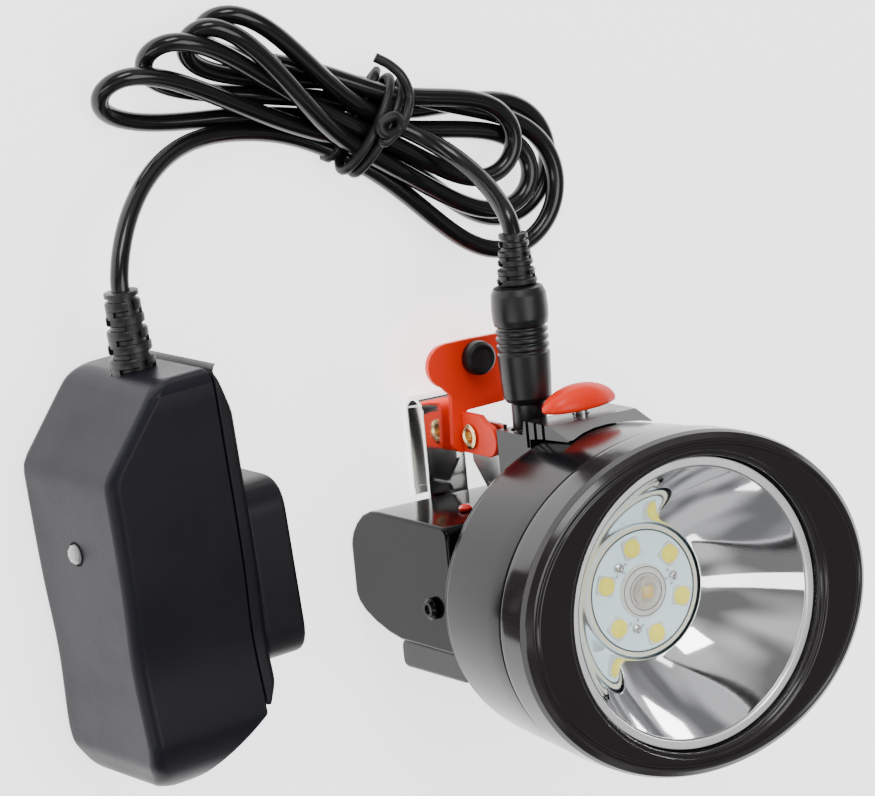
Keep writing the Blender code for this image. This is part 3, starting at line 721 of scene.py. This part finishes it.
screw = [(1.05, 55.05), (1.05, 55.6), (0.8, 55.95), (0.45, 56.0), (0.4, 55.7), (0.1, 55.7)]
pad = [(0.12, 55.0), (0.12, 55.06), (0.3, 55.06), (0.3, 55.0)]
for k in range(3):
    name = "screw_head_%d" % (k + 1)
    spot = facing_out(7.9, 13 + 120 * k)
    turned(name, screw, screw_steel, spot, "lamp", "board_screw_%d" % (k + 1), count=32, radius=0.06)
    for j in range(3):
        name = "via_%d_%d" % (k + 1, j + 1)
        hole = spot @ around(1.75, 120 + 60 * j)
        turned(name, pad, solder, hole, "lamp", loop=True, count=16, radius=0.0)


# Battery pod and clip

section = [(10.6, 38.5), (10.6, 12.0), (10.3, 8.4), (9.2, 5.4), (7.2, 2.8), (5.0, 1.0), (2.6, 0.0)]
section += [(-8.2, 0.0), (-10.0, 1.0), (-11.8, 3.3), (-13.6, 7.2), (-15.1, 12.0), (-15.9, 16.5), (-16.0, 38.5)]
pod_outline = flat_outline(section, 2.6, 4)
slab("pod_shell", pod_outline, "X", -35.2, 33.4, pod_black, "lamp", "battery_pod", edge=0.7)
slab("pod_far_cap", pod_outline, "X", 33.7, 35.2, pod_black, "lamp", "pod_end_cap", edge=0.5)
cover = flat_outline([(-22.4, 13.4), (-16.3, 13.4), (-16.3, 38.5), (-22.4, 38.5)], 2.0)
slab("pod_lower_cover", cover, "X", -33.4, 33.4, cover_black, "lamp", "pod_cover", edge=0.8)
screw_boss = [(2.3, 0.0), (2.3, 0.7), (1.6, 1.3), (1.0, 1.3), (0.9, 0.8), (0.2, 0.8)]
boss_at = Matrix.Translation((-35.5, -7.0, 31.0)) @ UP_TO_MINUS_X
turned("pod_boss", screw_boss, cup_black, boss_at, "lamp", "pod_screw")
window = [(1.4, 10.7), (1.4, 11.4), (0.9, 11.9), (0.3, 12.0)]
window_at = Matrix.Translation((-23.2, 0.0, 27.3)) @ UP_TO_Y
turned("window_dot", window, red_window, window_at, "lamp", "charge_window")
CLIP_BEND = (27.7, 3.5)
strip = [(5.9, 7.0), (27.6, 7.0)] + arc(CLIP_BEND, 3.5, 80, -80, 24)
strip += [(27.6, 0.0), (11.5, 0.0), (9.6, 0.5), (9.9, 1.4), (11.7, 1.0)]
strip += arc(CLIP_BEND, 2.5, -80, 80, 24) + [(5.9, 6.0)]
slab("clip_strip", strip, "X", -18.9, -9.4, clip_steel, "lamp", "cap_clip", edge=0.22)


# Charging socket's flap and switch lever

plate = [(0.2, 27.6), (0.4, 42.0), (-8.0, 42.1), (-13.4, 42.0)]
plate += arc((-13.6, 37.3), 4.6, 90, 250, 20) + [(-13.2, 31.0), (-13.8, 20.8)]
plate += arc((-11.6, 20.8), 2.2, 190, 270, 8) + [(-10.1, 18.6), (-10.1, 27.2)]
slab("flap_plate", flat_outline(plate, 1.0, 3), "Z", 8.4, 9.8, flap_red, "flap", "port_cover", edge=0.35)
ear = [(18.6, 9.4), (18.6, 19.0)] + arc((22.1, 19.3), 3.5, 180, 0, 20) + [(27.2, 17.0), (27.2, 9.4)]
lug = wrap("flap_ear", prism(ear, "X", -11.5, -10.1), flap_red, "flap")
pin_hole = [(HINGE.y + 1.9 * math.cos(t), HINGE.z + 1.9 * math.sin(t)) for t in full_turn(32)]
cut_out(lug, prism(pin_hole, "X", -13.0, -9.0))
soften(lug, 0.3)
across = Matrix.Translation(HINGE) @ UP_TO_X
eyelet = [(1.2, -12.1), (1.9, -12.25), (2.7, -12.05), (2.7, -11.75), (1.8, -11.7), (1.7, -8.0), (1.2, -8.0)]
turned("eyelet_ring", eyelet, brass, across, "lamp", "hinge_eyelet", loop=True, count=48, radius=0.15)
stopper = [(1.7, 8.4), (1.7, 10.1), (3.6, 10.1), (3.65, 11.2), (3.5, 12.2), (2.9, 12.8), (2.4, 12.8)]
stopper += [(2.2, 12.4), (0.4, 12.4)]
stopper_at = Matrix.Translation((SOCKET.x, 38.0, 0.0))
turned("stopper_plug", stopper, stopper_rubber, stopper_at, "flap", "cover_stopper", count=64)

LEVER_Z = 38.0


def leaf(scale):
    """The lever's outline at a scale: a leaf that is broad at one end and pointed at the other."""
    points = []
    for t in full_turn(72):
        slim = 1.0 - 0.25 * math.cos(t) - 0.4 * max(0.0, math.cos(t)) ** 3
        points.append((8.9 * math.cos(t) * scale, 3.7 * math.sin(t) * slim * scale))
    return points


def lever_leaf():
    """The switch lever: leaves stacked along Y, which shrink towards its domed top."""
    levels = [(0.90, 29.2), (0.97, 29.35), (1.0, 29.8), (0.99, 30.5), (0.93, 31.3), (0.84, 32.1)]
    levels += [(0.72, 32.8), (0.56, 33.5), (0.38, 34.0), (0.2, 34.3), (0.05, 34.4)]
    mesh = bmesh.new()
    skin(mesh, [[(x, y, LEVER_Z + z) for x, z in leaf(scale)] for scale, y in levels])
    flattened(wrap("lever_leaf", mesh, lever_red, "lever", "switch_lever"))


lever_leaf()


# Plug, sleeves and the tie


def sleeve(name, place, base, tip, low, high, count, node):
    """A tapered rubber sleeve: a core with a collar, and rings with two gaps each, a quarter turn apart."""
    mesh = bmesh.new()

    def band(profile, start, sweep, steps):
        """A profile swept part of a turn about Z."""
        turns = [start + sweep * j / steps for j in range(steps + 1)]
        skin(mesh, [[(r * math.cos(t), r * math.sin(t), z) for r, z in profile] for t in turns])

    core = [(base * 0.80, low), (tip * 0.82, high - 1.2), (tip, high - 1.1), (tip, high - 0.2)]
    core.append((tip * 0.8, high))
    skin(mesh, [round_ring(r, z, full_turn(48)) for r, z in core])
    pitch = (high - low - 1.1) / count
    for k in range(count):
        r = base + (tip - base) * (k + 0.5) / count
        z = low + k * pitch
        ring = [(r * 0.7, z + 0.1), (r - 0.25, z + 0.1), (r, z + 0.35), (r, z + pitch * 0.58)]
        ring += [(r - 0.25, z + pitch * 0.7), (r * 0.7, z + pitch * 0.7)]
        bridge = [(r * 0.7, z + pitch * 0.5), (r * 0.93, z + pitch * 0.5)]
        bridge += [(r * 0.93, z + pitch * 1.1), (r * 0.7, z + pitch * 1.1)]
        ring_turn, bridge_turn = (math.pi / 2, 0.0) if k % 2 else (0.0, math.pi / 2)
        for half in range(2):
            band(ring, math.pi * half + ring_turn + 0.22, math.pi - 0.44, 18)
        if k < count - 1:
            for half in range(2):
                band(bridge, math.pi * half + bridge_turn + 1.1, 0.9, 8)
    bmesh.ops.transform(mesh, matrix=place, verts=mesh.verts)
    obj = wrap(name, mesh, relief_rubber, "charger", node)
    obj.data.set_sharp_from_angle(angle=math.radians(38))


plug_at = Matrix.Translation(SOCKET) @ UP_TO_Y
plug = [(3.6, 25.3), (3.6, 30.6), (4.5, 31.0), (5.0, 31.9), (5.2, 35.0), (5.5, 41.0)]
plug += [(5.1, 41.3), (5.1, 41.8)]
for k in range(3):
    y = 42.0 + 1.6 * k
    plug += [(5.45, y), (5.45, y + 0.8), (5.0, y + 1.0), (5.0, y + 1.5)]
plug += [(5.6, 47.0), (5.85, 48.4), (5.9, 50.5), (5.7, 53.4), (5.1, 54.7), (3.9, 55.2)]
turned("plug_body", plug, plug_rubber, plug_at, "charger", "dc_plug", count=96, radius=0.3)
sleeve("plug_sleeve", plug_at, 4.3, 3.0, 55.3, 66.0, 5, "plug_relief")
adapter_sleeve_at = ADAPTER @ Matrix.Translation((19.5, 0.0, 19.0)) @ UP_TO_Y
sleeve("adapter_sleeve", adapter_sleeve_at, 5.1, 3.5, 79.9, 98.1, 6, "adapter_relief")


def on_tie(along, across, z):
    """A spot on the twist tie, measured along the hank and across it. Its laps lean a little."""
    spot = TIE + ALONG * (along + 0.22 * across) + ACROSS * across
    return (spot[0], spot[1], z)


# The tie starts with a free end, goes twice round the hank, is knotted on top, and ends free.
tie_path = [(-33.6, 84.2, 1.6), (-32.0, 85.2, 4.2)]
LAP_PITCH = 2.7
for lap in range(2):
    for degrees in range(-170, 190, 20):
        t = math.radians(degrees)
        along = LAP_PITCH * (lap + (degrees + 170) / 360) - 2.8
        squash = 1.0 - 0.12 * abs(math.cos(t)) * abs(math.sin(t))
        tie_path.append(on_tie(along, -10.6 * math.cos(t) * squash, 5.95 + 4.75 * math.sin(t)))
tie_path += [on_tie(1.0, -3.0, 11.8), on_tie(3.2, 0.5, 12.6), on_tie(0.8, 2.6, 13.0)]
tie_path += [on_tie(-1.6, 0.2, 12.6), on_tie(0.6, -1.6, 12.9), on_tie(3.6, 0.8, 12.4)]
tie_path += [(-17.6, 94.2, 11.6), (-18.6, 98.6, 11.6), (-20.8, 101.6, 10.6), (-23.4, 103.6, 9.2)]
tie_line = smooth_path(tie_path, 0.7)
curve_piece("twist_tie", tie_line, 1.05, tie_black, "charger", "cord_tie", resolution=4, nurbs=False)


# Adapter

CASE_WIDTH = 38.0
CASE_TOP = 82.3
TOP_EDGE = 2.6
LIGHT_HEIGHT = 49.0
front_points = [(8.0, 0.0), (2.5, 1.6), (0.0, 7.0), (0.0, 65.5), (14.5, CASE_TOP)]
front_line = rounded_profile(front_points, 5.0, False, 8)
rear_points = [(8.0, 0.0), (13.0, 1.6), (27.0, 11.6), (30.0, 17.0), (30.0, 73.0), (27.0, CASE_TOP)]
rear_line = rounded_profile(rear_points, 5.0, False, 8)


def along_edge(line, y):
    """Depth of a side line of the case at a height."""
    return float(np.interp(y, [p[1] for p in line], [p[0] for p in line]))


def case_section(y, low, high, inset, corners):
    """Outline of the case at a height, between two depths. It has a waist, and corners of two radii."""
    x0 = max(low, along_edge(front_line, y)) + inset
    x1 = min(high, along_edge(rear_line, y))
    x1 = max(x1, x0 + 0.05) - inset * 0.2
    waist = 1.5 * math.exp(-(((y - 27.0) / 12.0) ** 2))
    round_end = 12.0 - math.sqrt(max(0.0, 144.0 - max(0.0, 12.0 - y) ** 2))
    shy = waist + round_end + max(0.0, y - 79.0) * 0.3 + inset
    z0, z1 = shy, CASE_WIDTH - shy
    front, rear = [min(corner, (x1 - x0) * 0.45) for corner in corners]
    points = []
    for centre, radius, start in (
        ((x1 - rear, z1 - rear), rear, 0),
        ((x0 + front, z1 - front), front, 90),
        ((x0 + front, z0 + front), front, 180),
        ((x1 - rear, z0 + rear), rear, 270),
    ):
        points += arc(centre, radius, start, start + 90, 8)
    return [(x, y, z) for x, z in points]


def case_half(name, low, high, start, corners, mat, node):
    """One half of the adapter's case, with a softened top edge."""
    heights = [(y, 0.0) for y in np.linspace(start, start + 16.0, 33)]
    heights += [(y, 0.0) for y in np.linspace(start + 17.0, 79.6, 36)]
    for degrees in range(0, 91, 15):
        t = math.radians(degrees)
        heights.append((CASE_TOP - TOP_EDGE + TOP_EDGE * math.sin(t), TOP_EDGE * (1 - math.cos(t))))
    mesh = bmesh.new()
    skin(mesh, [case_section(y, low, high, inset, corners) for y, inset in heights])
    bmesh.ops.transform(mesh, matrix=ADAPTER, verts=mesh.verts)
    half = wrap(name, mesh, mat, "charger", node)
    flattened(half)
    half.data.set_sharp_from_angle(angle=math.radians(50))


case_half("adapter_face_half", 0.0, 26.5, 0.05, (2.6, 0.3), case_black, "adapter_front")
case_half("adapter_rear_half", 26.8, 30.0, 13.0, (0.3, 2.4), back_black, "adapter_back")
boss = flat_outline([(20.0, 1.5), (57.0, 1.5), (57.0, 36.5), (20.0, 36.5)], 7.0, 8)
block_mesh = prism(boss, "X", 29.5, 39.0, ADAPTER)
block = wrap("adapter_prong_block", block_mesh, back_black, "charger")
recess = flat_outline([(26.0, 8.6), (54.0, 8.6), (54.0, 29.4), (26.0, 29.4)], 1.5)
cut_out(block, prism(recess, "X", 32.2, 40.0, ADAPTER))
soften(block, 1.6, 4, 40.0)
light_at = ADAPTER @ Matrix.Translation((0.0, LIGHT_HEIGHT, CASE_WIDTH / 2)) @ UP_TO_MINUS_X
light_dome = [(2.1, -0.2), (2.0, 0.6), (1.5, 1.1), (0.6, 1.4)]
turned("charge_light_dome", light_dome, light_lens, light_at, "charger", "charge_light", count=48)
light_ring = [(2.15, 0.0), (2.15, 0.12), (2.5, 0.12), (2.5, 0.0)]
turned(
    "charge_light_ring",
    light_ring,
    back_black,
    light_at,
    "charger",
    loop=True,
    count=48,
    radius=0.0,
)
